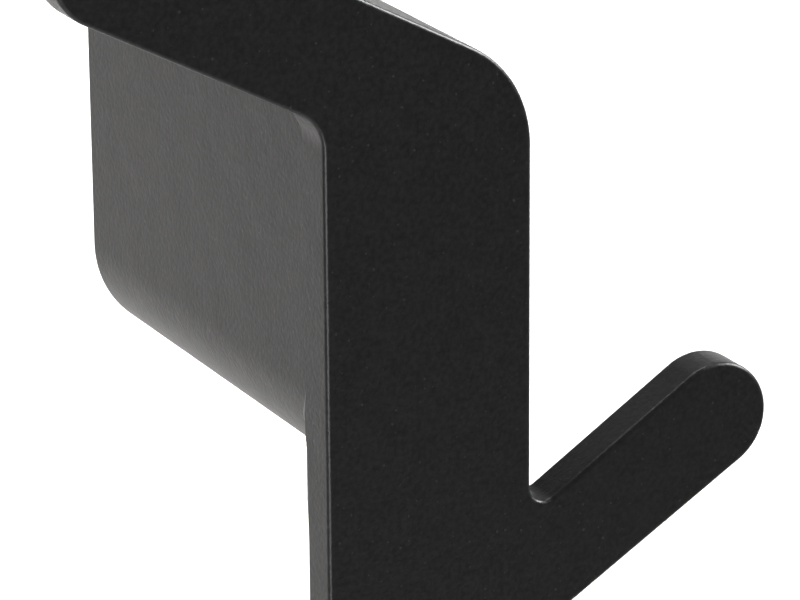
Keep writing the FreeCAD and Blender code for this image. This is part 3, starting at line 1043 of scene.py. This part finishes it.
# %% [markdown]
# ## Floor and light
#
# Satin black shows almost nothing of itself: what is seen is the room, mirrored softly. The
# hook hangs well above a pale floor that is bright behind and below it and falls away in front,
# so the plate's face stays dark while the side and the rounds pick up light. A sky texture
# could light it too, but soft boxes are few, plain, and easy to move one at a time. Small boxes
# on the left and the right draw the bright lines on the edges, and large dim ones behind fill
# the flank of the shell.

# %% Floor
FLOOR_LEVEL = -0.30
FLOOR_HALF = 6


def make_floor():
    pale = Finish("pale_floor")
    tone = pale.mix_colour(pale.noise(0.4, 2), (0.80, 0.80, 0.80, 1), (0.84, 0.84, 0.84, 1))
    pale.set(Base_Color=tone, Roughness=0.9, Specular_IOR_Level=0.1)
    mesh = bmesh.new()
    corners = [
        mesh.verts.new((x * FLOOR_HALF, y * FLOOR_HALF, FLOOR_LEVEL))
        for x, y in ((-1, -1), (1, -1), (1, 1), (-1, 1))
    ]
    mesh.faces.new(corners)
    floor = finish_mesh("floor", mesh)
    floor.data.materials.append(pale.material)
    return floor


floor = make_floor()
print("floor at", FLOOR_LEVEL, "m")

# %% Lights
CENTRE = Vector((0, -0.05, 0))
FULL_SPREAD = 180


def soft_box(name, direction, distance, size, brightness, spread=FULL_SPREAD):
    """An area light that faces the hook; brightness is the radiance seen straight on.

    A narrow spread packs the same power into fewer directions, so the power is cut to match.
    """
    data = bpy.data.lights.new(name, "AREA")
    data.shape = "RECTANGLE"
    data.size, data.size_y = size
    data.energy = brightness * math.pi * size[0] * size[1]
    if spread < FULL_SPREAD:
        half = math.radians(spread / 2)
        data.spread = 2 * half
        data.energy *= 1 - half / math.tan(half)
    light = bpy.data.objects.new(name, data)
    away = Vector(direction).normalized()
    light.location = CENTRE + away * distance
    light.rotation_euler = away.to_track_quat("Z", "Y").to_euler()
    light.visible_camera = False
    bpy.context.scene.collection.objects.link(light)
    return light


# Each box has its name, direction, distance, size and brightness, in metres where it is a length.
rear = soft_box("rear_floor_light", (0, 0, 1), 1.5, (2.4, 1.7), 17.5, spread=75)
rear.location = (0.75, 1.15, 1.3)
rear.data.color = (1.0, 0.978, 0.945)
soft_box("horizon_box", (0.30, 0.94, 0.12), 2.5, (3.6, 0.6), 2.0)
soft_box("back_left_box", (-0.60, 0.78, 0.16), 1.6, (0.7, 0.5), 2.5)
soft_box("front_left_box", (-0.62, -0.72, -0.32), 0.7, (0.14, 0.5), 28, spread=60)
soft_box("right_box", (0.88, -0.10, 0.46), 1.0, (0.45, 0.26), 66, spread=60)
print("lights", len(bpy.data.lights))

# %% The room's own faint light
world = bpy.data.worlds.new("dim_room")
world.use_nodes = True
room = world.node_tree.nodes["Background"]
room.inputs["Color"].default_value = (0.090, 0.092, 0.101, 1)
bpy.context.scene.world = world
bpy.context.scene.view_settings.view_transform = "Standard"
print("made", world.name)

# %% [markdown]
# ## Camera
#
# The hook is seen from the left and a little above, through a long lens half a metre away,
# which keeps its long edges nearly parallel. The place is worked out from two angles and a
# distance round a point to aim at, because those can be changed one at a time, where a typed
# location and rotation can't.

# %% Camera
AZIMUTH = math.radians(-27.94)
ELEVATION = math.radians(19.58)
ROLL = math.radians(-0.40)
CAMERA_DISTANCE = 475.5 * MM
LENS = 208.7
SENSOR_WIDTH = 36
AIM = Vector((-12.13, -76.03, 0.26)) * MM


def make_camera():
    data = bpy.data.cameras.new("camera")
    data.sensor_width = SENSOR_WIDTH
    data.lens = LENS
    data.clip_start = 0.01
    data.clip_end = 50
    camera = bpy.data.objects.new("camera", data)
    back = Vector((
        math.sin(AZIMUTH) * math.cos(ELEVATION),
        -math.cos(AZIMUTH) * math.cos(ELEVATION),
        math.sin(ELEVATION),
    ))
    camera.location = AIM + back * CAMERA_DISTANCE
    level = back.to_track_quat("Z", "Y")
    camera.rotation_euler = (level @ Quaternion((0, 0, 1), ROLL)).to_euler()
    bpy.context.scene.collection.objects.link(camera)
    bpy.context.scene.camera = camera
    print("camera at mm", [round(c / MM, 1) for c in camera.location])


make_camera()
